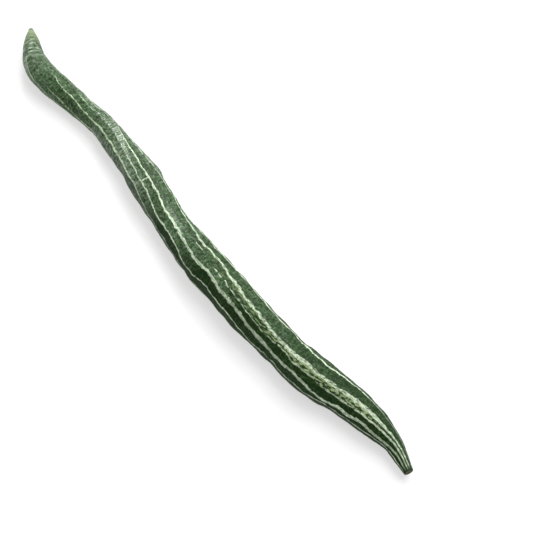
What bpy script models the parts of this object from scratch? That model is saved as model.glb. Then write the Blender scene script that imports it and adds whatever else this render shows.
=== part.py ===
"""Snake gourd: one long, ridged, gently winding fruit, picked and lying on its side.

+X runs from the blossom tip to the stem end, +Z is up, and the table is at z = 0.
"""

import math

import bmesh
import bpy
import numpy as np

MM = 0.001

# Driving dimensions in millimetres. A distance is measured along the fruit from the blossom tip.

# The middle line seen from above, from the blossom tip to the stem end: x along, y sideways
PATH = (
    (-339.5, 15.2),
    (-314.0, 1.7),
    (-293.5, -6.8),
    (-272.5, -10.0),
    (-236.0, -4.0),
    (-200.5, 1.6),
    (-176.0, 5.2),
    (-150.0, 3.8),
    (-121.0, 3.2),
    (-85.0, 0.0),
    (-42.0, -5.3),
    (-2.0, -9.0),
    (39.0, -10.4),
    (92.0, -9.2),
    (125.0, -8.4),
    (165.0, -4.3),
    (188.0, -3.0),
    (205.5, 0.3),
    (235.0, 9.1),
    (266.5, 16.3),
    (293.5, 19.7),
    (307.5, 20.2),
    (321.5, 17.9),
    (336.5, 15.0),
)

# Radius of the fruit at a distance: blunt tip, neck at 150, thickest at 404, then the taper to the stem
GIRTH = (
    (5.5, 3.1),
    (12, 5.2),
    (20, 7.7),
    (29, 9.6),
    (40, 11.5),
    (50, 12.9),
    (73, 15.0),
    (90, 14.7),
    (109, 14.4),
    (127, 13.4),
    (150, 12.9),
    (180, 13.5),
    (213, 15.0),
    (240, 16.2),
    (262, 18.0),
    (290, 17.2),
    (316, 17.0),
    (330, 16.9),
    (350, 18.5),
    (370, 19.7),
    (404, 20.8),
    (437, 20.0),
    (450, 20.4),
    (468, 19.8),
    (500, 18.9),
    (530, 18.9),
    (553, 20.1),
    (574, 18.6),
    (595, 17.0),
    (617, 15.5),
    (631, 14.0),
    (645, 11.1),
    (658, 8.9),
    (672, 6.8),
    (686, 4.8),
)

# Height of the underside above the table at a distance; where it dips below, the fruit rests on a flat spot
UNDERSIDE = (
    (0, 14.5),
    (29, 7.0),
    (50, 3.9),
    (73, 1.8),
    (100, 0.1),
    (127, -0.7),
    (165, 0.4),
    (240, 1.3),
    (316, 0.3),
    (385, -0.7),
    (440, 0.1),
    (500, 0.6),
    (550, -0.1),
    (590, -0.7),
    (617, 0.2),
    (645, 2.3),
    (672, 4.2),
    (686, 5.0),
)

# How far the ridges have turned round the fruit at a distance, in degrees
TWIST = (
    (0, 118),
    (90, 90),
    (120, 75),
    (170, 58),
    (210, 50),
    (250, 36),
    (300, 24),
    (350, 12),
    (400, 0),
    (450, -8),
    (500, -19),
    (550, -26),
    (585, -30),
    (620, -22),
    (650, -15),
    (686, -5),
)

# Angle of each ridge where the twist is zero, in degrees: 0 is up, and 90 faces +Y
RIDGES = (-92, -62, -29, 18, 47, 84, 121, 158, 195, 232)
# Height of a ridge's crest over the mean surface, as a share of the radius
RIDGE_RISE = 0.020

# Slow waves in the rind: height as a share of the radius, length along the fruit, turns round it, phase
SWELLS = (
    (0.016, 57.0, 1, 4.0),
    (0.015, 34.0, 2, 0.6),
    (0.012, 23.0, -3, 2.1),
)

RING_SPACING = 6.0
COLUMNS_PER_RIDGE = 4
# The rounded nose closes the tip in front of the first whole ring
NOSE_START = 5.5
NOSE_RINGS = 4
NOSE_DEPTH = 2.4
# The cut stem, from its rim to its middle: radius as a share of the last ring's, and place past that ring
STEM_CUT = ((0.93, 0.5), (0.80, 0.7), (0.42, 0.1))
STEM_CUT_MIDDLE = -0.2

RIND_COLOUR = (0.055, 0.125, 0.045, 1.0)
RIND_ROUGHNESS = 0.38


def clear_scene():
    for obj in list(bpy.data.objects):
        bpy.data.objects.remove(obj)


def spline(knots, values):
    """Natural cubic spline through the values at the knots, as a function."""
    knots = np.array(knots, float)
    values = np.array(values, float)
    gaps = np.diff(knots)
    slopes = np.diff(values) / gaps
    last = len(knots) - 1
    system = np.eye(last + 1)
    change = np.zeros(last + 1)
    for i in range(1, last):
        system[i, i - 1 : i + 2] = gaps[i - 1], 2 * (gaps[i - 1] + gaps[i]), gaps[i]
        change[i] = 6 * (slopes[i] - slopes[i - 1])
    bend = np.linalg.solve(system, change)

    def read(place):
        i = int(np.clip(np.searchsorted(knots, place) - 1, 0, last - 1))
        before = (knots[i + 1] - place) / gaps[i]
        after = (place - knots[i]) / gaps[i]
        curve = (before**3 - before) * bend[i] + (after**3 - after) * bend[i + 1]
        return before * values[i] + after * values[i + 1] + curve * gaps[i] ** 2 / 6

    return read


def column(table, index):
    return [row[index] for row in table]


def path_functions():
    """x and y of the middle line as functions of the distance along it."""
    steps = np.diff(np.array(PATH), axis=0)
    places = np.concatenate([[0.0], np.cumsum(np.linalg.norm(steps, axis=1))])
    return spline(places, column(PATH, 0)), spline(places, column(PATH, 1)), places[-1]


path_x, path_y, LENGTH = path_functions()
radius_at = spline(column(GIRTH, 0), column(GIRTH, 1))
underside_at = spline(column(UNDERSIDE, 0), column(UNDERSIDE, 1))
twist_at = spline(column(TWIST, 0), column(TWIST, 1))


def middle(distance):
    inside = min(max(distance, NOSE_START), LENGTH)
    z = underside_at(inside) + radius_at(inside)
    return np.array([path_x(inside), path_y(inside), z])


def ring_frame(distance):
    """The ring's centre, and unit vectors along the fruit, up and sideways."""
    reach = 1.5
    start = max(distance - reach, NOSE_START)
    end = min(distance + reach, LENGTH)
    along = middle(end) - middle(start)
    along /= np.linalg.norm(along)
    side = np.cross([0.0, 0.0, 1.0], along)
    side /= np.linalg.norm(side)
    return middle(distance), along, np.cross(along, side), side


def column_angles():
    """Each column's angle in degrees and its rise: 1 on a ridge's crest, -1 in the valley between two."""
    found = []
    for i, crest in enumerate(RIDGES):
        following = RIDGES[(i + 1) % len(RIDGES)]
        gap = (following - crest) % 360
        for step in range(COLUMNS_PER_RIDGE):
            share = step / COLUMNS_PER_RIDGE
            found.append((crest + gap * share, math.cos(2 * math.pi * share)))
    return found


def swell(distance, angle):
    total = 0.0
    for height, wavelength, turns, phase in SWELLS:
        total += height * math.sin(2 * math.pi * distance / wavelength + turns * angle + phase)
    return total


def ring_points(distance, scale=1.0, push=0.0):
    """One ring of points. Scale narrows it, and push moves it along the fruit, for the two ends."""
    centre, along, up, side = ring_frame(distance)
    radius = radius_at(min(distance, LENGTH)) * scale
    points = []
    for degrees, rise in column_angles():
        angle = math.radians(degrees + twist_at(distance))
        reach = radius * (1 + RIDGE_RISE * rise + swell(distance, angle))
        point = centre + along * push + reach * (math.cos(angle) * up + math.sin(angle) * side)
        point[2] = max(point[2], 0.0)
        points.append(point)
    return points


def end_point(distance, push):
    centre, along, _, _ = ring_frame(distance)
    return centre + along * push


def fruit_rings():
    """All rings from the blossom tip to the cut stem."""
    rings = []
    for i in range(1, NOSE_RINGS):
        turn = math.pi / 2 * i / NOSE_RINGS
        rings.append(ring_points(NOSE_START, math.sin(turn), -NOSE_DEPTH * math.cos(turn)))
    for distance in np.linspace(NOSE_START, LENGTH, round(LENGTH / RING_SPACING) + 1):
        rings.append(ring_points(distance))
    for share, push in STEM_CUT:
        rings.append(ring_points(LENGTH, share, push))
    return rings


def loft(mesh, rings, first_point, last_point):
    """Skins the rings and closes each end to a point."""
    skin = bmesh.new()
    rows = [[skin.verts.new(point * MM) for point in ring] for ring in rings]
    count = len(rows[0])
    for near, far in zip(rows, rows[1:]):
        for i in range(count):
            j = (i + 1) % count
            skin.faces.new((near[i], near[j], far[j], far[i]))
    for row, point in ((rows[0], first_point), (rows[-1], last_point)):
        tip = skin.verts.new(point * MM)
        for i in range(count):
            skin.faces.new((tip, row[i], row[(i + 1) % count]))
    bmesh.ops.recalc_face_normals(skin, faces=skin.faces)
    bmesh.ops.triangulate(skin, faces=skin.faces)
    skin.to_mesh(mesh)
    skin.free()


def centre_over_origin(mesh):
    """Moves the fruit so that the middle of its box stands over the origin, on the table."""
    corners = np.array([vertex.co for vertex in mesh.vertices])
    low = corners.min(axis=0)
    high = corners.max(axis=0)
    for vertex in mesh.vertices:
        vertex.co.x -= (low[0] + high[0]) / 2
        vertex.co.y -= (low[1] + high[1]) / 2
        vertex.co.z -= low[2]


def rind_material():
    material = bpy.data.materials.new("rind")
    material.use_nodes = True
    shader = material.node_tree.nodes["Principled BSDF"]
    shader.inputs["Base Color"].default_value = RIND_COLOUR
    shader.inputs["Roughness"].default_value = RIND_ROUGHNESS
    shader.inputs["Metallic"].default_value = 0.0
    return material


def make_gourd():
    mesh = bpy.data.meshes.new("gourd")
    tip = end_point(NOSE_START, -NOSE_DEPTH)
    cut = end_point(LENGTH, STEM_CUT_MIDDLE)
    loft(mesh, fruit_rings(), tip, cut)
    centre_over_origin(mesh)
    mesh.shade_smooth()
    mesh.materials.append(rind_material())
    gourd = bpy.data.objects.new("gourd", mesh)
    bpy.context.scene.collection.objects.link(gourd)


clear_scene()
make_gourd()
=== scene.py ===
"""The looks of a snake gourd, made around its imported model: +X to the stem end, +Z up, metres."""

import math

import bpy
import numpy as np
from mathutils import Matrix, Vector


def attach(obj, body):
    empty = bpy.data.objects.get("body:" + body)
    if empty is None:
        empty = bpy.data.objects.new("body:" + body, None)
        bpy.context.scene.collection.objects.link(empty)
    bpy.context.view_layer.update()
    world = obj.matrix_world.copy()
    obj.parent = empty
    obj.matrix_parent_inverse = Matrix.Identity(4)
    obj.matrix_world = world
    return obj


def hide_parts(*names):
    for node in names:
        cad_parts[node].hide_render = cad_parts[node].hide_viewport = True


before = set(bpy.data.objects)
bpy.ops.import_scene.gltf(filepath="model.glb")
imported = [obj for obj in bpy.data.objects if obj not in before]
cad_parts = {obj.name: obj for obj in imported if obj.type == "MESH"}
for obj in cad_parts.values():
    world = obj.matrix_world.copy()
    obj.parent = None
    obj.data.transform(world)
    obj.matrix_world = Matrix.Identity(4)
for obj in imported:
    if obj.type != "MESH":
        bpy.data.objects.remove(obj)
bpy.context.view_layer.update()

MM = 0.001

# Camera: a long lens looks steeply down from the stem end's side, so that the fruit lies corner to
# corner in the picture, its pointed blossom tip at the upper left.
CAMERA_LENS = 105.0
CAMERA_DISTANCE = 1.5645
CAMERA_TARGET = Vector((0.0689, 0.0463, 0.0))
CAMERA_AZIMUTH = math.radians(54.5)
CAMERA_ELEVATION = math.radians(55.0)


def direction(azimuth, elevation):
    """Unit vector from the fruit towards a place that far round it and that high over the table."""
    flat = math.cos(elevation)
    return Vector((math.sin(azimuth) * flat, -math.cos(azimuth) * flat, math.sin(elevation)))


camera = bpy.data.objects.new("camera", bpy.data.cameras.new("camera"))
bpy.context.scene.collection.objects.link(camera)
bpy.context.scene.camera = camera
camera.data.lens = CAMERA_LENS
camera_side = direction(CAMERA_AZIMUTH, CAMERA_ELEVATION)
camera.location = CAMERA_TARGET + camera_side * CAMERA_DISTANCE
camera.rotation_mode = "QUATERNION"
camera.rotation_quaternion = (-camera_side).to_track_quat("-Z", "Y")


# The gourd: one whole fruit, a long tapering tube of rind that winds a little and lies on the table.
# It grows from a narrow stem, where it was cut, to the pointed tip where the blossom sat.

# The middle line seen from above, from the blossom tip to the stem end: x along, y sideways
PATH = (
    (-339.5, 15.2), (-314.0, 1.7), (-293.5, -6.8), (-272.5, -10.0), (-236.0, -4.0), (-200.5, 1.6),
    (-176.0, 5.2), (-150.0, 3.8), (-121.0, 3.2), (-85.0, 0.0), (-42.0, -5.3), (-2.0, -9.0),
    (39.0, -10.4), (92.0, -9.2), (125.0, -8.4), (165.0, -4.3), (188.0, -3.0), (205.5, 0.3),
    (235.0, 9.1), (266.5, 16.3), (293.5, 19.7), (307.5, 20.2), (321.5, 17.9), (336.5, 15.0),
)
# Radius of the fruit at a distance along it from the blossom tip
GIRTH = (
    (5.5, 3.1), (12, 5.2), (20, 7.7), (29, 9.6), (40, 11.5), (50, 12.9), (73, 15.0), (90, 14.7),
    (109, 14.4), (127, 13.4), (150, 12.9), (180, 13.5), (213, 15.0), (240, 16.2), (262, 18.0),
    (290, 17.2), (316, 17.0), (330, 16.9), (350, 18.5), (370, 19.7), (404, 20.8), (437, 20.0),
    (450, 20.4), (468, 19.8), (500, 18.9), (530, 18.9), (553, 20.1), (574, 18.6), (595, 17.0),
    (617, 15.5), (631, 14.0), (645, 11.1), (658, 8.9), (672, 6.8), (686, 4.8),
)
# Height of the underside above the table at a distance; where it is under 0 the rind is pressed flat
UNDERSIDE = (
    (0, 14.5), (29, 7.0), (50, 3.9), (73, 1.8), (100, 0.1), (127, -0.7), (165, 0.4), (240, 1.3),
    (316, 0.3), (385, -0.7), (440, 0.1), (500, 0.6), (550, -0.1), (590, -0.7), (617, 0.2),
    (645, 2.3), (672, 4.2), (686, 5.0),
)
# The pale stripes, each over a low ridge, in turn round the fruit. An entry gives the distance, the angle
# round the fruit in degrees, where 0 is up and 90 faces +Y, the stripe's half width and how pale it is.
STRIPES = {
    "far left": (
        (0, 30, 0.4, 0), (70, -20, 0.4, 0), (88, -42, 0.5, 0.1), (101, -58, 0.6, 0.4),
        (112, -62, 0.6, 0.7), (151, -85, 0.7, 0.9), (182, -87, 0.6, 0.8), (206, -97, 0.5, 0.8),
        (250, -104, 0.5, 0.8), (300, -112, 0.6, 0.8), (400, -132, 0.8, 0.8), (500, -150, 0.9, 0.8),
        (585, -160, 0.8, 0.8), (650, -146, 0.5, 0.7), (686, -134, 0.4, 0.6),
    ),
    "left": (
        (0, 55, 0.3, 0), (68, 20, 0.5, 0), (80, 13, 0.6, 0), (88, 7, 0.6, 0), (95, 2, 0.7, 0.8),
        (106, -12, 0.6, 0.9), (127, -16, 0.5, 0.8), (138, -22, 0.5, 0.8), (160, -38, 0.5, 1),
        (168, -40, 0.6, 1), (191, -35, 0.8, 1), (206, -37, 0.9, 1), (222, -44, 1.0, 1),
        (252, -54, 1.0, 1), (280, -59, 0.6, 0.8), (293, -70, 0.5, 0.8), (308, -80, 0.5, 0.7),
        (330, -78, 0.5, 0.6), (350, -81, 0.5, 0.6), (400, -95, 0.5, 0.6), (450, -103, 0.6, 0.6),
        (500, -115, 0.8, 0.7), (560, -124, 0.8, 0.7), (620, -118, 0.7, 0.6), (660, -108, 0.5, 0.6),
        (686, -100, 0.4, 0.5),
    ),
    "left of middle": (
        (0, 80, 0.3, 0), (125, 22, 0.3, 0), (135, 14, 0.7, 1), (150, 4, 0.5, 0.6), (176, -4, 0.4, 0.3),
        (188, 3, 0.4, 0.3), (220, -12, 0.5, 0.7), (250, -23, 0.5, 1), (270, -27, 0.6, 1),
        (294, -32, 0.6, 1), (310, -42, 0.7, 0.9), (342, -45, 0.8, 0.9), (358, -49, 0.8, 0.85),
        (376, -63, 0.8, 0.8), (406, -64, 0.7, 0.7), (421, -63, 0.7, 0.65), (434, -68, 0.7, 0.7),
        (464, -71, 0.8, 0.8), (475, -81, 0.7, 0.8), (506, -82, 0.6, 0.7), (532, -83, 0.6, 0.6),
        (580, -87, 0.6, 0.6), (624, -83, 0.6, 0.5), (660, -73, 0.5, 0.6), (672, -70, 0.5, 0.7),
        (686, -74, 0.4, 0.6),
    ),
    "middle": (
        (0, 110, 0.3, 0), (125, 48, 0.3, 0), (135, 42, 0.5, 0.8), (150, 34, 0.5, 0.9),
        (170, 33, 0.5, 0.85), (187, 41, 0.5, 0.8), (206, 24, 0.6, 0.85), (232, 8, 0.7, 1),
        (264, -1, 0.7, 1), (286, 1, 1.0, 0.9), (300, -2, 0.8, 1), (322, -12, 1.0, 1), (334, -10, 1.1, 1),
        (348, -15, 1.3, 0.95), (371, -23, 1.3, 0.75), (388, -29, 1.3, 0.75), (420, -31, 1.5, 0.7),
        (431, -37, 1.5, 0.65), (452, -36, 1.5, 0.6), (472, -44, 1.3, 0.5), (497, -52, 1.8, 0.5),
        (527, -55, 1.4, 0.65), (540, -53, 1.4, 0.7), (562, -62, 1.3, 0.8), (578, -73, 1.4, 0.8),
        (594, -65, 1.6, 0.85), (608, -65, 1.5, 0.8), (624, -56, 1.4, 0.7), (639, -60, 1.4, 0.6),
        (656, -52, 1.1, 0.55), (670, -36, 0.7, 0.6), (686, -38, 0.5, 0.5),
    ),
    "strand": (
        (0, 135, 0.3, 0), (120, 75, 0.3, 0), (232, 24, 0.3, 0), (300, 16, 0.3, 0), (366, 5, 0.4, 0),
        (370, 4, 0.4, 0.7), (388, 1, 0.4, 0.7), (392, -1, 0.4, 0), (406, -6, 0.4, 0), (412, -8, 0.5, 0.8),
        (432, -11, 0.5, 0.9), (446, -15, 0.5, 0.8), (464, -19, 0.4, 0.6), (490, -28, 0.4, 0.5),
        (508, -29, 0.5, 0.5), (523, -23, 0.5, 0.5), (538, -30, 0.5, 0.5), (548, -29, 0.6, 0.5),
        (570, -36, 0.6, 0.5), (584, -38, 0.6, 0.5), (618, -30, 0.7, 0.7), (634, -26, 0.8, 0.8),
        (648, -20, 0.9, 0.7), (660, -13, 0.8, 0.65), (672, -5, 0.6, 0.65), (686, -10, 0.5, 0.6),
    ),
    "right of middle": (
        (0, 160, 0.3, 0), (120, 95, 0.3, 0), (190, 58, 0.3, 0.2), (224, 44, 0.5, 0.9), (250, 37, 0.5, 1),
        (262, 38, 0.5, 1), (282, 49, 0.5, 1), (298, 51, 0.5, 1), (314, 48, 0.6, 1), (332, 41, 0.7, 0.9),
        (349, 32, 0.8, 0.7), (360, 27, 0.9, 0.72), (376, 17, 1.0, 0.75), (390, 19, 1.0, 0.78),
        (405, 19, 1.1, 0.8), (420, 13, 1.2, 0.82), (438, 9, 1.3, 0.85), (460, 2, 1.4, 0.85),
        (478, 0, 1.2, 0.8), (496, -8, 1.2, 0.85), (539, -10, 2.1, 0.85), (560, -12, 1.4, 0.8),
        (579, -14, 1.3, 0.8), (606, -8, 1.9, 0.8), (632, -3, 1.5, 0.85), (650, 3, 0.9, 0.75),
        (660, 7, 0.7, 0.7), (670, 17, 0.6, 0.7), (686, 14, 0.5, 0.6),
    ),
    "right": (
        (0, 195, 0.3, 0), (150, 120, 0.3, 0), (220, 85, 0.4, 0.7), (281, 70, 0.6, 0.8), (305, 66, 0.7, 1),
        (332, 58, 0.8, 1), (356, 52, 0.7, 0.9), (382, 48, 0.7, 1), (401, 46, 0.8, 1), (426, 52, 1.1, 1),
        (443, 53, 1.1, 1), (456, 53, 1.1, 1), (472, 49, 0.9, 1), (504, 42, 0.8, 1), (516, 47, 0.9, 1),
        (530, 42, 1.0, 1), (552, 28, 1.1, 1), (589, 35, 0.8, 1), (620, 38, 0.5, 0.8), (642, 42, 0.3, 0.5),
        (686, 50, 0.3, 0.4),
    ),
    "back right": (
        (0, 220, 0.3, 0), (100, 170, 0.4, 0.5), (200, 130, 0.5, 0.9), (300, 106, 0.6, 0.9),
        (400, 84, 0.7, 0.9), (500, 68, 0.8, 0.9), (585, 64, 0.7, 0.8), (650, 74, 0.5, 0.7),
        (686, 80, 0.4, 0.6),
    ),
    "back": (
        (0, 255, 0.3, 0), (100, 208, 0.4, 0.5), (200, 168, 0.6, 0.9), (300, 143, 0.8, 0.9),
        (400, 121, 1.1, 0.9), (500, 100, 1.4, 0.9), (585, 96, 1.3, 0.8), (650, 106, 0.8, 0.7),
        (686, 112, 0.4, 0.6),
    ),
    "back left": (
        (0, 290, 0.3, 0), (100, 245, 0.4, 0.5), (200, 205, 0.5, 0.9), (300, 181, 0.8, 0.9),
        (400, 158, 1.0, 0.9), (500, 136, 1.5, 0.9), (585, 130, 1.4, 0.8), (650, 140, 0.8, 0.7),
        (686, 146, 0.4, 0.6),
    ),
    "under": (
        (0, 330, 0.3, 0), (45, 325, 0.4, 0), (57, 314, 0.5, 0.6), (66, 299, 0.6, 0.7),
        (76, 289, 0.6, 0.7), (88, 281, 0.5, 0.6), (100, 270, 0.5, 0.6), (150, 252, 0.5, 0.7),
        (200, 236, 0.5, 0.9), (300, 216, 0.6, 0.9), (400, 194, 0.8, 0.9), (500, 172, 1.0, 0.9),
        (585, 164, 0.9, 0.8), (650, 176, 0.6, 0.7), (686, 186, 0.4, 0.6),
    ),
}
# The green lanes, each named for the stripe before it: distance, how dark the green is there, which is
# partly its own darker green and partly painted shade on the sides turned from the light, how much grey
# bloom lies on it, which is partly real bloom and partly painted sheen of the soft light, and how thickly
# the flecks of broken stripe fill it
PLAIN_LANE = ((0, 0, 0.9, 0), (60, 0.1, 0.8, 0), (120, 0.3, 0.4, 0), (250, 0.4, 0.3, 0), (686, 0.8, 0.1, 0))
LANES = {
    "far left": (
        (0, 0, 0.7, 0), (80, 0.2, 0.5, 0), (110, 0.4, 0.3, 0), (200, 0.2, 0.5, 0), (250, 0.5, 0.2, 0),
        (300, 0.7, 0.2, 0), (686, 0.8, 0.2, 0),
    ),
    "left": (
        (0, 0, 0.7, 0), (90, 0.1, 0.6, 0), (120, 0.3, 0.3, 0), (180, 0.2, 0.4, 0), (230, 0, 0.9, 0),
        (267, 0, 1, 0), (290, 0.2, 0.7, 0), (310, 0.7, 0.3, 0), (330, 1, 0, 0), (686, 1, 0, 0),
    ),
    "left of middle": (
        (0, 0, 0.9, 0), (130, 0, 0.8, 0), (170, 0, 0.7, 0), (190, 0, 0.9, 0), (235, 0, 0.9, 0),
        (250, 0.1, 0.8, 0), (270, 0.2, 0.6, 0), (300, 0.4, 0.4, 0), (350, 0.2, 0.6, 0),
        (375, 0.4, 0.3, 0), (400, 0.9, 0, 0), (470, 1, 0, 0), (520, 0.9, 0, 0), (600, 1, 0, 0),
        (686, 1, 0, 0),
    ),
    "middle": (
        (0, 0, 0.8, 0), (200, 0.1, 0.6, 0), (215, 0.5, 0.3, 0), (295, 0.5, 0.3, 0), (320, 0, 0.9, 0),
        (350, 0, 0.9, 0), (370, 0.3, 0.4, 0), (425, 0, 0.6, 0), (445, 0.4, 0.2, 0), (465, 1, 0, 0),
        (500, 1, 0, 0), (550, 0.8, 0, 0), (600, 1, 0, 0), (640, 0.9, 0, 0), (686, 0.6, 0, 0),
    ),
    "strand": (
        (0, 0, 0.8, 0), (200, 0.1, 0.7, 0), (340, 0.2, 0.5, 0), (370, 0.4, 0.2, 0), (420, 0.4, 0.1, 0.2),
        (450, 0.5, 0, 0.4), (490, 0.6, 0, 0.6), (520, 0.7, 0, 0.9), (600, 0.8, 0, 1), (622, 0.8, 0, 0.9),
        (642, 0.9, 0, 0.1), (686, 0.8, 0, 0),
    ),
    "right of middle": (
        (0, 0, 0.8, 0), (200, 0.1, 0.7, 0), (360, 0.3, 0.5, 0), (380, 0.5, 0.3, 0), (510, 0.5, 0.3, 0),
        (540, 0.7, 0.1, 0), (686, 0.9, 0.1, 0),
    ),
}
# Where a stripe is broken into dashes: distance, and how much of it is missing
BREAKS = {
    "far left": ((0, 0.3), (250, 0.4), (400, 0.2)),
    "left": ((0, 0.4), (120, 0.3), (160, 0.1)),
    "left of middle": (
        (0, 0.4), (130, 0.4), (170, 0.6), (230, 0.5), (260, 0.1), (360, 0), (400, 0.3), (450, 0.1),
    ),
    "middle": ((0, 0.2), (230, 0.1)),
    "strand": ((0, 0.3), (370, 0.5), (430, 0.4), (500, 0.5), (610, 0.3), (640, 0)),
    "right of middle": ((0, 0.4), (300, 0.1), (440, 0.3), (500, 0.5), (620, 0.4), (645, 0)),
}

RING_SPACING = 1.0
COLUMNS_PER_LANE = 12
# The rounded nose closes the tip in front of the first whole ring
NOSE_START = 5.5
NOSE_RINGS = 7
NOSE_DEPTH = 2.4
# The cut stem, from its rim to its middle: radius as a share of the last ring's, and place past it
STEM_CUT = (
    (0.985, 0.22), (0.955, 0.40), (0.92, 0.52), (0.87, 0.62), (0.80, 0.60), (0.68, 0.40),
    (0.54, 0.22), (0.38, 0.08), (0.20, -0.08), (0.08, -0.16), (0.0, -0.18),
)
# Half the height of a fully pale stripe's ridge over the valleys beside it, as a share of the radius, and
# how far the valleys lie inside the radius, as a share of that half
RIDGE_RISE = 0.020
RIDGE_SINK = 0.7
# Slow waves in the rind: height as a share of the radius, length along the fruit, turns round it, phase
SWELLS = (
    (0.016, 57.0, 1, 4.0),
    (0.015, 34.0, 2, 0.6),
    (0.012, 23.0, -3, 2.1),
)
# Small waves of each stripe: size in degrees, length along the fruit, how the phase goes on by stripe
WAVERS = ((0.7, 27.0, 2.4), (0.7, 14.5, 4.1), (0.5, 8.2, 1.3))
# The fruit's direction at a ring is taken between two points this far before and after it
HEADING_REACH = 1.5


def spline(knots, values):
    """Natural cubic spline through the values at the knots, as a function of an array of places."""
    knots = np.array(knots, float)
    values = np.array(values, float)
    gaps = np.diff(knots)
    slopes = np.diff(values) / gaps
    last = len(knots) - 1
    system = np.eye(last + 1)
    change = np.zeros(last + 1)
    for i in range(1, last):
        system[i, i - 1 : i + 2] = gaps[i - 1], 2 * (gaps[i - 1] + gaps[i]), gaps[i]
        change[i] = 6 * (slopes[i] - slopes[i - 1])
    bend = np.linalg.solve(system, change)

    def read(places):
        i = np.clip(np.searchsorted(knots, places) - 1, 0, last - 1)
        before = (knots[i + 1] - places) / gaps[i]
        after = (places - knots[i]) / gaps[i]
        curve = (before**3 - before) * bend[i] + (after**3 - after) * bend[i + 1]
        return before * values[i] + after * values[i + 1] + curve * gaps[i] ** 2 / 6

    return read


path_steps = np.linalg.norm(np.diff(np.array(PATH), axis=0), axis=1)
path_knots = np.concatenate([[0.0], np.cumsum(path_steps)])
LENGTH = path_knots[-1]
path_x, path_y = (spline(path_knots, [point[axis] for point in PATH]) for axis in (0, 1))
girth_at = spline(*zip(*GIRTH))
underside_at = spline(*zip(*UNDERSIDE))


def middle(places):
    """Points of the middle line at these distances, in millimetres."""
    inside = np.clip(places, NOSE_START, LENGTH)
    return np.stack([path_x(inside), path_y(inside), underside_at(inside) + girth_at(inside)], axis=1)


def ring_table():
    """Every ring from the nose's point to the middle of the cut stem, as named columns of numbers."""
    body = np.linspace(NOSE_START, LENGTH, round((LENGTH - NOSE_START) / RING_SPACING) + 1)
    turns = np.linspace(0.0, math.pi / 2, NOSE_RINGS + 1)[:-1]
    cut_scale, cut_push = np.array(STEM_CUT).T
    scale = np.concatenate([np.sin(turns), np.ones(len(body)), cut_scale])
    push = np.concatenate([-NOSE_DEPTH * np.cos(turns), np.zeros(len(body)), cut_push])
    places = np.concatenate([np.full(len(turns), NOSE_START), body, np.full(len(cut_scale), LENGTH)])
    ahead = middle(places + HEADING_REACH) - middle(places - HEADING_REACH)
    ahead /= np.linalg.norm(ahead, axis=1)[:, None]
    girth = girth_at(places) * scale
    # The distance goes on over the nose and over the cut, towards the middle of each
    end_length = np.where(places == LENGTH, girth_at(places) - girth, push)
    return {
        "centre": (middle(places) + ahead * push[:, None]) * MM,
        "ahead": ahead,
        "girth": girth * MM,
        "along": (places + end_length) * MM,
        "place": places,
    }


def guide(name, points, **fields):
    """A chain of points, for the rind's tree to read, that carries named numbers or vectors."""
    mesh = bpy.data.meshes.new(name)
    mesh.from_pydata(points, [(i, i + 1) for i in range(len(points) - 1)], [])
    for field, values in fields.items():
        kind, key = ("FLOAT_VECTOR", "vector") if np.ndim(values) == 2 else ("FLOAT", "value")
        mesh.attributes.new(field, kind, "POINT").data.foreach_set(key, np.ravel(values))
    made = bpy.data.objects.new(name, mesh)
    bpy.context.scene.collection.objects.link(made)
    return made


rings = ring_table()
places = rings["place"]
line_guide = guide(
    "middle line", rings["centre"], ahead=rings["ahead"], girth=rings["girth"], along=rings["along"]
)
stripe_rows = {key: [] for key in ("angle", "half_width", "paleness", "breaks", "dark", "bloom", "flecks")}
# The first stripe comes again after the last, a whole turn on, to close the last lane
for number, name in enumerate([*STRIPES, next(iter(STRIPES))]):
    place, angle, half_width, paleness = zip(*STRIPES[name])
    phases = [shift * (number % len(STRIPES)) for _, _, shift in WAVERS]
    waver = sum(
        size * np.sin(2 * math.pi * places / length + phase)
        for (size, length, _), phase in zip(WAVERS, phases)
    )
    whole_turn = 360.0 * (number // len(STRIPES))
    stripe_rows["angle"].append(np.radians(spline(place, angle)(places) + waver + whole_turn))
    stripe_rows["half_width"].append(np.interp(places, place, half_width) * MM)
    stripe_rows["paleness"].append(np.interp(places, place, paleness))
    stripe_rows["breaks"].append(np.interp(places, *zip(*BREAKS.get(name, ((0, 0.1),)))))
    # A lane's darkness is partly its own darker green and partly painted shade; its bloom is partly painted
    # sheen
    place, *tones = zip(*LANES.get(name, PLAIN_LANE))
    for tone, values in zip(("dark", "bloom", "flecks"), tones):
        stripe_rows[tone].append(np.interp(places, place, values))
stripe_guide = guide(
    "stripes",
    np.tile(rings["centre"], (len(STRIPES) + 1, 1)),
    **{name: np.concatenate(row) for name, row in stripe_rows.items()},
)


class Wire:
    """The output of a node. Sums on wires add their Math nodes to the tree that the wire is in."""

    def __init__(self, socket):
        self.socket = socket

    def maths(self, operation, *others):
        """A Math node that takes this wire first and then the others, which may be numbers."""
        sockets = dict(enumerate((self, *others)))
        return Tree(self.socket.id_data).node("ShaderNodeMath", {"operation": operation}, sockets)

    def __add__(self, other):
        return self.maths("ADD", other)

    def __sub__(self, other):
        return self.maths("SUBTRACT", other)

    def __mul__(self, other):
        return self.maths("MULTIPLY", other)

    def __truediv__(self, other):
        return self.maths("DIVIDE", other)

    def __rsub__(self, other):
        return self * -1 + other

    __radd__ = __add__
    __rmul__ = __mul__

    def also(self, name):
        """Another output of the same node."""
        return Wire(self.socket.node.outputs[name])


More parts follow.
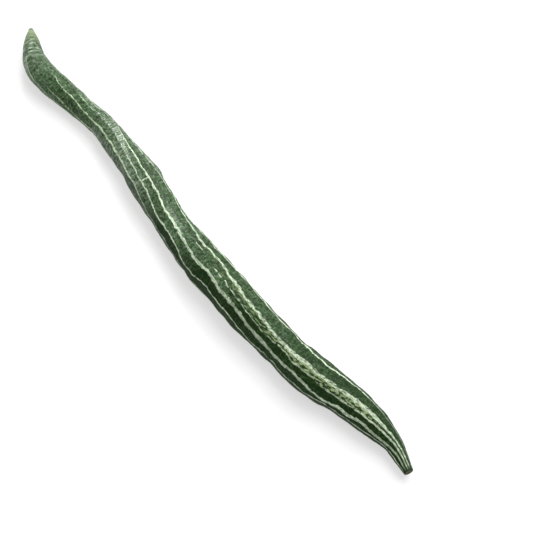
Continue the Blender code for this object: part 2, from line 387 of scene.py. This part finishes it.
class Tree:
    """A node tree, of geometry or of a material, that nodes are added to."""

    def __init__(self, tree):
        self.tree = tree

    def node(self, kind, settings=(), sockets=(), out=0):
        """Adds a node with these settings, and these values or wires in its sockets; gives one output."""
        node = self.tree.nodes.new(kind)
        for name, value in dict(settings).items():
            setattr(node, name, value)
        for name, value in dict(sockets).items():
            if isinstance(value, Wire):
                self.tree.links.new(value.socket, node.inputs[name])
            else:
                node.inputs[name].default_value = value
        return Wire(node.outputs[out]) if node.outputs else None

    def vector(self, operation, first, second):
        """A Vector Math node on two vectors, or on a vector and the number that scales it."""
        name = "Scale" if operation == "SCALE" else 1
        return self.node("ShaderNodeVectorMath", {"operation": operation}, {0: first, name: second})

    def noise(self, place, size, detail=2.0, shape=(1.0, 1.0, 1.0), seed=0.0):
        """Noise from 0 to 1 with lumps of about this size in millimetres, longer where shape is over 1."""
        where = self.vector("MULTIPLY", place, tuple(1 / (size * MM * part) for part in shape))
        sockets = {"Vector": where, "W": seed, "Scale": 1.0, "Detail": detail}
        return self.node("ShaderNodeTexNoise", {"noise_dimensions": "4D"}, sockets)

    def keep(self, geometry, **fields):
        """Captures fields on a geometry's points; gives the geometry and the fields' wires by name."""
        node = self.tree.nodes.new("GeometryNodeCaptureAttribute")
        self.tree.links.new(geometry.socket, node.inputs["Geometry"])
        for name, (kind, wire) in fields.items():
            node.capture_items.new(kind, name)
            self.tree.links.new(wire.socket, node.inputs[name])
        return Wire(node.outputs["Geometry"]), {name: Wire(node.outputs[name]) for name in fields}


# Wrinkles are drawn out across the fruit, dimples are round; both fade where it is thinner than this
WRINKLE_SIZE = 2.6
WRINKLE_SHAPE = (3.0, 3.0, 1.0)
DIMPLE_SIZE = 7.0
FULL_RELIEF_GIRTH = 9.0
# Less than any x or y of the fruit, in metres, so that a limit of this holds nothing back
NO_LIMIT = -4.0


def rind_tree(inputs):
    """Geometry nodes that wrap the rind round the middle line, with its columns along the stripes."""
    group = bpy.data.node_groups.new("rind round its middle line", "GeometryNodeTree")
    group.interface.new_socket("Geometry", in_out="OUTPUT", socket_type="NodeSocketGeometry")
    for name, (kind, _) in inputs.items():
        group.interface.new_socket(name, in_out="INPUT", socket_type="NodeSocket" + kind)
    tree = Tree(group)
    size = tree.node("NodeGroupInput").also

    def carried(name, kind="FLOAT"):
        return tree.node("GeometryNodeInputNamedAttribute", {"data_type": kind}, {"Name": name})

    line = tree.node("GeometryNodeObjectInfo", (), {"Object": size("Middle line")}, "Geometry")
    stripes = tree.node("GeometryNodeObjectInfo", (), {"Object": size("Stripes")}, "Geometry")
    line, ring = tree.keep(
        line,
        centre=("VECTOR", tree.node("GeometryNodeInputPosition")),
        ahead=("VECTOR", carried("ahead", "FLOAT_VECTOR")),
        girth=("FLOAT", carried("girth")),
        along=("FLOAT", carried("along")),
        number=("INT", tree.node("GeometryNodeInputIndex")),
    )
    line = tree.node("GeometryNodeMeshToCurve", (), {"Mesh": line})
    columns = size("Lanes") * size("Columns per lane")
    circle = tree.node("GeometryNodeCurvePrimitiveCircle", (), {"Resolution": columns})
    circle, column = tree.keep(circle, number=("INT", tree.node("GeometryNodeInputIndex")))
    rind = tree.node("GeometryNodeCurveToMesh", (), {"Curve": line, "Profile Curve": circle})

    # Each column's angle is found between the stripe before it and the stripe after it. The small
    # addition keeps a column on a stripe from being rounded down into the lane before.
    place = column["number"] / size("Columns per lane")
    lane = (place + 0.001).maths("FLOOR")
    share = (place - lane).maths("MAXIMUM", 0.0)
    before = lane * size("Rings") + ring["number"]
    after = before + size("Rings")
    nearest = before + share.maths("GREATER_THAN", 0.5) * size("Rings")

    def stripe(name, index):
        sockets = {"Geometry": stripes, "Value": carried(name), "Index": index}
        return tree.node("GeometryNodeSampleIndex", {"data_type": "FLOAT", "domain": "POINT"}, sockets)

    start = stripe("angle", before)
    lane_angle = stripe("angle", after) - start
    angle = start + lane_angle * share
    girth, along = ring["girth"], ring["along"]
    # The fruit as if straightened, which the patterns follow: across it x and y, along it z
    straight = {0: girth * angle.maths("COSINE"), 1: girth * angle.maths("SINE"), 2: along}
    straight = tree.node("ShaderNodeCombineXYZ", (), straight)

    # A ridge stands only where its stripe shows
    crest = (1 + (share * (2 * math.pi)).maths("COSINE")) * stripe("paleness", nearest)
    ridge = size("Ridge rise") * (crest - RIDGE_SINK)
    swell = sum(
        height * (along * (2 * math.pi / (length * MM)) + angle * turns + phase).maths("SINE")
        for height, length, turns, phase in SWELLS
    )
    wrinkles = tree.noise(straight, WRINKLE_SIZE, 2.0, WRINKLE_SHAPE, size("Seed")) - 0.5
    dimples = tree.noise(straight, DIMPLE_SIZE, 1.0, seed=size("Seed") + 5.0) - 0.5
    full = (girth / (FULL_RELIEF_GIRTH * MM)).maths("MINIMUM", 1.0)
    relief = (wrinkles * size("Wrinkles") + dimples * size("Dimples")) * full
    reach = girth * (1 + ridge + swell) + relief

    side = tree.vector("CROSS_PRODUCT", (0.0, 0.0, 1.0), ring["ahead"])
    side = tree.node("ShaderNodeVectorMath", {"operation": "NORMALIZE"}, {0: side})
    above = tree.vector("CROSS_PRODUCT", ring["ahead"], side)
    upward = tree.vector("SCALE", above, reach * angle.maths("COSINE"))
    sideward = tree.vector("SCALE", side, reach * angle.maths("SINE"))
    point = tree.vector("ADD", ring["centre"], tree.vector("ADD", upward, sideward))
    # The table presses the underside flat
    point = tree.vector("MAXIMUM", point, (NO_LIMIT, NO_LIMIT, 0.0))
    rind = tree.node("GeometryNodeSetPosition", (), {"Geometry": rind, "Position": point})

    to_stripe = (share.maths("MINIMUM", 1 - share) * lane_angle).maths("ABSOLUTE") * girth
    for name, kind, value in (
        ("straight", "FLOAT_VECTOR", straight),
        ("to_stripe", "FLOAT", to_stripe),
        ("half_width", "FLOAT", stripe("half_width", nearest)),
        ("paleness", "FLOAT", stripe("paleness", nearest)),
        ("breaks", "FLOAT", stripe("breaks", nearest)),
        # A lane's darkness is partly painted shade, and its bloom partly painted sheen
        ("dark", "FLOAT", stripe("dark", before)),
        ("bloom", "FLOAT", stripe("bloom", before)),
        ("flecks", "FLOAT", stripe("flecks", before)),
        ("share", "FLOAT", share),
    ):
        sockets = {"Geometry": rind, "Name": name, "Value": value}
        rind = tree.node("GeometryNodeStoreNamedAttribute", {"data_type": kind, "domain": "POINT"}, sockets)
    rind = tree.node("GeometryNodeMergeByDistance", (), {"Geometry": rind, "Distance": size("Merge")})
    rind = tree.node("GeometryNodeSetShadeSmooth", (), {"Geometry": rind})
    rind = tree.node("GeometryNodeRealizeInstances", (), {"Geometry": rind})
    rind = tree.node("GeometryNodeSetMaterial", (), {"Geometry": rind, "Material": size("Rind")})
    tree.node("NodeGroupOutput", (), {"Geometry": rind})
    return group


# Colours of the rind: its dark green, which also stands for painted shade, and its fresh green, the bloom
# with painted sheen, the pale specks, the frosty lines across it and the painted glints, the tip, the
# flecks, the dried cut and the stripes
DEEP = (0.004, 0.019, 0.001, 1.0)
FRESH = (0.052, 0.130, 0.030, 1.0)
# Partly the waxy bloom's own grey and partly painted sheen of the soft light
BLOOM_AND_SHEEN = (0.140, 0.205, 0.130, 1.0)
SPECK = (0.250, 0.330, 0.215, 1.0)
# Pale lines across the tip, and the painted glints on the thin part
FROST_AND_GLINTS = (0.460, 0.540, 0.430, 1.0)
TIP = (0.210, 0.280, 0.140, 1.0)
FLECK = (0.360, 0.450, 0.240, 1.0)
CUT = (0.085, 0.088, 0.040, 1.0)
STRIPE_YOUNG = (0.530, 0.690, 0.440, 1.0)
STRIPE_OLD = (0.640, 0.760, 0.560, 1.0)

# Patterns of the rind: size of the lumps in millimetres, detail, how the lumps are drawn out across and
# along the fruit, and seed
PATTERNS = {
    "blotches": (4.5, 4.0, (1.0, 1.0, 1.5), 0.0),
    "grain": (2.0, 3.0, (1.0, 1.0, 1.3), 2.0),
    "haze": (3.5, 4.0, (1.2, 1.2, 1.0), 3.0),
    "frost and glint lines": (2.2, 3.0, (4.0, 4.0, 1.0), 4.0),
    "specks": (2.2, 3.0, (1.4, 1.4, 1.0), 5.0),
    "shaded furrows": (2.6, 3.0, (3.0, 3.0, 1.0), 6.0),
    "ragged edges": (1.5, 4.0, (1.0, 1.0, 3.6), 7.0),
    "gaps": (1.5, 3.0, (1.0, 1.0, 2.6), 9.0),
    "flecks": (1.4, 3.0, (1.0, 1.0, 3.2), 11.0),
    "dullness": (3.0, 3.0, (1.0, 1.0, 1.0), 13.0),
    "fine wrinkles": (1.8, 3.0, WRINKLE_SHAPE, 15.0),
    "pores": (1.0, 1.0, (1.0, 1.0, 1.0), 17.0),
    "wax": (2.2, 2.0, WRINKLE_SHAPE, 19.0),
    "fibres": (1.6, 3.0, (1.0, 1.0, 2.2), 21.0),
}
# Where a finish comes in along the fruit: the distance at which there is none, and where it is full
STRETCHES = {
    "wrinkled tip": (95.0, 15.0),
    "pale tip": (38.0, 12.0),
    "blossom scar": (8.5, 4.0),
    "thin part": (245.0, 215.0),
    "wax starts": (130.0, 190.0),
    "wax ends": (330.0, 230.0),
    "older stripes": (170.0, 330.0),
    "smooth edges": (620.0, 645.0),
    "dark stem": (LENGTH - 10.0, LENGTH),
    "striped rind": (LENGTH + 1.0, LENGTH - 6.0),
    "dried cut": (LENGTH + 0.3, LENGTH + 0.9),
}
# One short vein crosses the fruit: its distance, how far it reaches to the left of the top, how much the
# ragged edges bend it, and how pale it is
VEIN_PLACE = 275.0
VEIN_REACH = 8.0
VEIN_BEND = 5.0
VEIN_PALENESS = 0.7
# Height of the finest relief, which is shading only
BUMP_DEPTH = 0.8


def rind_material():
    """Waxy rind: mottled dark green with painted shade in some lanes, a grey bloom with painted sheen,
    painted glints, the pale stripes that the mesh's attributes place, fine wrinkles.
    """
    material = bpy.data.materials.new("waxy striped rind")
    material.use_nodes = True
    material.node_tree.nodes.clear()
    tree = Tree(material.node_tree)

    def carried(name, out="Fac"):
        return tree.node("ShaderNodeAttribute", {"attribute_name": name}, out=out)

    def smooth(value, low, high):
        sockets = {"Value": value, "From Min": low, "From Max": high}
        return tree.node("ShaderNodeMapRange", {"interpolation_type": "SMOOTHSTEP"}, sockets)

    def mixed(share, first, second):
        sockets = {"Factor": share, 6: first, 7: second}
        return tree.node("ShaderNodeMix", {"data_type": "RGBA"}, sockets, 2)

    def lumps(name):
        return tree.noise(straight, *PATTERNS[name])

    def stretch(name):
        return smooth(along, *STRETCHES[name])

    straight = carried("straight", "Vector")
    parts = tree.node("ShaderNodeSeparateXYZ", (), {0: straight})
    across, along = parts.also("Y") * (1 / MM), parts.also("Z") * (1 / MM)

    # Green: dark and fresh in blotches, with painted shade darkening some lanes, under a grey bloom that is
    # partly painted sheen, with fine specks and pale lines across
    dark, bloom, flecks = carried("dark"), carried("bloom"), carried("flecks")
    grain = smooth(lumps("grain"), 0.40, 0.60)
    fresh = (0.25 + 0.75 * smooth(lumps("blotches"), 0.42, 0.57)) * (0.1 + 0.9 * grain)
    colour = mixed(fresh * (1 - 0.8 * dark), DEEP, FRESH)
    haze = smooth(lumps("haze"), 0.40, 0.56)
    colour = mixed(bloom * (0.25 + 0.75 * haze) * (0.45 + 0.55 * grain), colour, BLOOM_AND_SHEEN)
    specks = smooth(lumps("specks"), 0.54, 0.66)
    colour = mixed(specks * (0.08 + 0.72 * bloom), colour, SPECK)
    # The pale lines across are thickest on the tip; on the thin part, where the bloom is thick, they are
    # painted glints on the wrinkles, like rungs
    tip = stretch("wrinkled tip")
    glint_rungs = smooth(bloom, 0.70, 0.95) * (0.3 + 0.35 * stretch("thin part"))
    colour = mixed(smooth(lumps("frost and glint lines"), 0.50, 0.60) * (0.65 * tip + glint_rungs), colour, FROST_AND_GLINTS)
    # Painted shade in the furrows across the wrinkled tip
    colour = mixed(smooth(lumps("shaded furrows"), 0.48, 0.60) * tip * 0.7, colour, DEEP)
    # The two ends
    colour = mixed(stretch("pale tip") * 0.75, colour, TIP)
    colour = mixed(stretch("blossom scar") * 0.8, colour, DEEP)
    colour = mixed(stretch("dark stem") * 0.6, colour, DEEP)
    colour = mixed(stretch("dried cut") * (0.5 + 0.5 * grain), colour, CUT)

    # Flecks of broken stripe, thickest beside the stripe that they come from
    patches = smooth(lumps("flecks") + 0.14 * carried("share"), 0.53, 0.64)
    colour = mixed(flecks * patches * 0.8, colour, FLECK)

    # Stripes: ragged along both edges, with green between their fibres, and paler towards the stem end.
    # The thinner a stripe is, the more it breaks into dashes.
    to_stripe = carried("to_stripe") * (1 / MM)
    half_width = carried("half_width") * (1 / MM)
    ragged = (lumps("ragged edges") - 0.5) * (1 - 0.6 * stretch("smooth edges"))
    edge = to_stripe + ragged * (2.0 + half_width * 2.2)
    stripe = smooth(edge, half_width + 0.30, half_width - 0.25)
    missing = carried("breaks") * 0.40 + 0.22
    dashes = smooth(lumps("gaps") - missing, 0.0, 0.14)
    kept = 1 - (1.2 - 0.32 * half_width).maths("MINIMUM", 1.0) * (1 - dashes)
    fibres = 0.5 + 0.6 * smooth(lumps("fibres"), 0.38, 0.60)
    stripe = stripe * kept * carried("paleness") * fibres * stretch("striped rind")
    # The vein runs from the middle stripe to the one on its left, on the upper side only
    vein = smooth((along - VEIN_PLACE + VEIN_BEND * ragged).maths("ABSOLUTE"), 0.8, 0.4)
    from_middle = (across + VEIN_REACH / 2).maths("ABSOLUTE")
    vein = vein * smooth(from_middle, VEIN_REACH / 2, VEIN_REACH / 2 - 0.6)
    stripe = stripe.maths("MAXIMUM", vein * parts.maths("GREATER_THAN", 0.0) * VEIN_PALENESS)
    colour = mixed(stripe, colour, mixed(stretch("older stripes"), STRIPE_YOUNG, STRIPE_OLD))

    # Wax shines in patches, most of all where the thin part begins to swell
    wax = smooth(lumps("wax"), 0.45, 0.58) * (0.1 + 0.9 * stretch("wax ends") * stretch("wax starts"))
    relief = {
        "Height": lumps("fine wrinkles") + 0.3 * lumps("pores"),
        "Strength": 0.8,
        "Distance": BUMP_DEPTH * MM,
    }
    shader = tree.node(
        "ShaderNodeBsdfPrincipled",
        (),
        {
            "Base Color": colour,
            "Metallic": 0.0,
            "Roughness": 0.34 + 0.25 * lumps("dullness") + 0.2 * dark,
            "Specular IOR Level": 0.12,
            "Coat Weight": wax * (1 - 0.8 * dark),
            "Coat Roughness": 0.27,
            "Normal": tree.node("ShaderNodeBump", (), relief),
        },
    )
    tree.node("ShaderNodeOutputMaterial", (), {"Surface": shader})
    return material


# The tree's inputs: kind of socket, and value, with lengths in metres
INPUTS = {
    "Middle line": ("Object", line_guide),
    "Stripes": ("Object", stripe_guide),
    "Lanes": ("Int", len(STRIPES)),
    "Columns per lane": ("Int", COLUMNS_PER_LANE),
    "Rings": ("Int", len(places)),
    "Ridge rise": ("Float", RIDGE_RISE),
    "Wrinkles": ("Float", 0.45 * MM),
    "Dimples": ("Float", 0.7 * MM),
    "Seed": ("Float", 3.0),
    "Merge": ("Float", 0.001 * MM),
    "Rind": ("Material", rind_material()),
}


def evaluated_piece(name, group, inputs):
    """A plain mesh object that the tree makes from these inputs."""
    piece = bpy.data.objects.new(name, bpy.data.meshes.new(name))
    bpy.context.scene.collection.objects.link(piece)
    modifier = piece.modifiers.new(name, "NODES")
    modifier.node_group = group
    for socket in group.interface.items_tree:
        if socket.in_out == "INPUT":
            modifier[socket.identifier] = inputs[socket.name][1]
    ready = piece.evaluated_get(bpy.context.evaluated_depsgraph_get())
    piece.data = bpy.data.meshes.new_from_object(ready)
    piece.modifiers.clear()
    return piece


gourd_rind = evaluated_piece("gourd_rind", rind_tree(INPUTS), INPUTS)
for chain in (line_guide, stripe_guide):
    bpy.data.objects.remove(chain)
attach(gourd_rind, "root")
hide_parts("gourd")


# The studio: a pale light table that runs out of the picture and glows a little, a large soft light behind
# and to the right of the fruit as the camera sees it, a small one lower down straight behind its thin
# half, and a pale ceiling over dim walls.
FLOOR_REACH = 4.0
FLOOR_COLOUR = (0.44, 0.44, 0.44, 1.0)
FLOOR_GLOW = 0.54
WALLS = 0.3
CEILING = 0.75

floor_mesh = bpy.data.meshes.new("floor")
corners = [(x * FLOOR_REACH, y * FLOOR_REACH, 0.0) for x, y in ((-1, -1), (1, -1), (1, 1), (-1, 1))]
floor_mesh.from_pydata(corners, [], [(0, 1, 2, 3)])
floor = bpy.data.objects.new("floor", floor_mesh)
bpy.context.scene.collection.objects.link(floor)
floor_paint = bpy.data.materials.new("light table")
floor_paint.use_nodes = True
floor_shader = floor_paint.node_tree.nodes["Principled BSDF"].inputs
floor_shader["Base Color"].default_value = FLOOR_COLOUR
floor_shader["Roughness"].default_value = 0.9
floor_shader["Specular IOR Level"].default_value = 0.0
floor_shader["Emission Color"].default_value = (1.0, 1.0, 1.0, 1.0)
floor_shader["Emission Strength"].default_value = FLOOR_GLOW
floor_mesh.materials.append(floor_paint)


def soft_light(name, target, azimuth, elevation, distance, side, power):
    """A square area light turned to its target; angles in degrees, lengths in metres, power in watts."""
    lamp = bpy.data.objects.new(name, bpy.data.lights.new(name, "AREA"))
    bpy.context.scene.collection.objects.link(lamp)
    towards = direction(math.radians(azimuth), math.radians(elevation))
    lamp.location = Vector(target) + towards * distance
    lamp.rotation_mode = "QUATERNION"
    lamp.rotation_quaternion = (-towards).to_track_quat("-Z", "Y")
    lamp.data.size = side
    lamp.data.energy = power


soft_light("window light", (0, 0, 0), azimuth=180, elevation=60, distance=2.4, side=2.0, power=52.0)
soft_light("low back light", (-0.17, 0, 0), azimuth=236, elevation=39, distance=1.2, side=0.26, power=5.5)
world = bpy.data.worlds.new("studio")
bpy.context.scene.world = world
world.use_nodes = True
room = Tree(world.node_tree)
height = room.node("ShaderNodeSeparateXYZ", (), {0: room.node("ShaderNodeTexCoord", out="Generated")}, "Z")
ceiling = room.node("ShaderNodeMapRange", {"interpolation_type": "SMOOTHSTEP"}, {"Value": height})
background = world.node_tree.nodes["Background"]
background.inputs["Color"].default_value = (1.0, 1.0, 1.0, 1.0)
world.node_tree.links.new((WALLS + (CEILING - WALLS) * ceiling).socket, background.inputs["Strength"])
bpy.context.scene.view_settings.view_transform = "Standard"
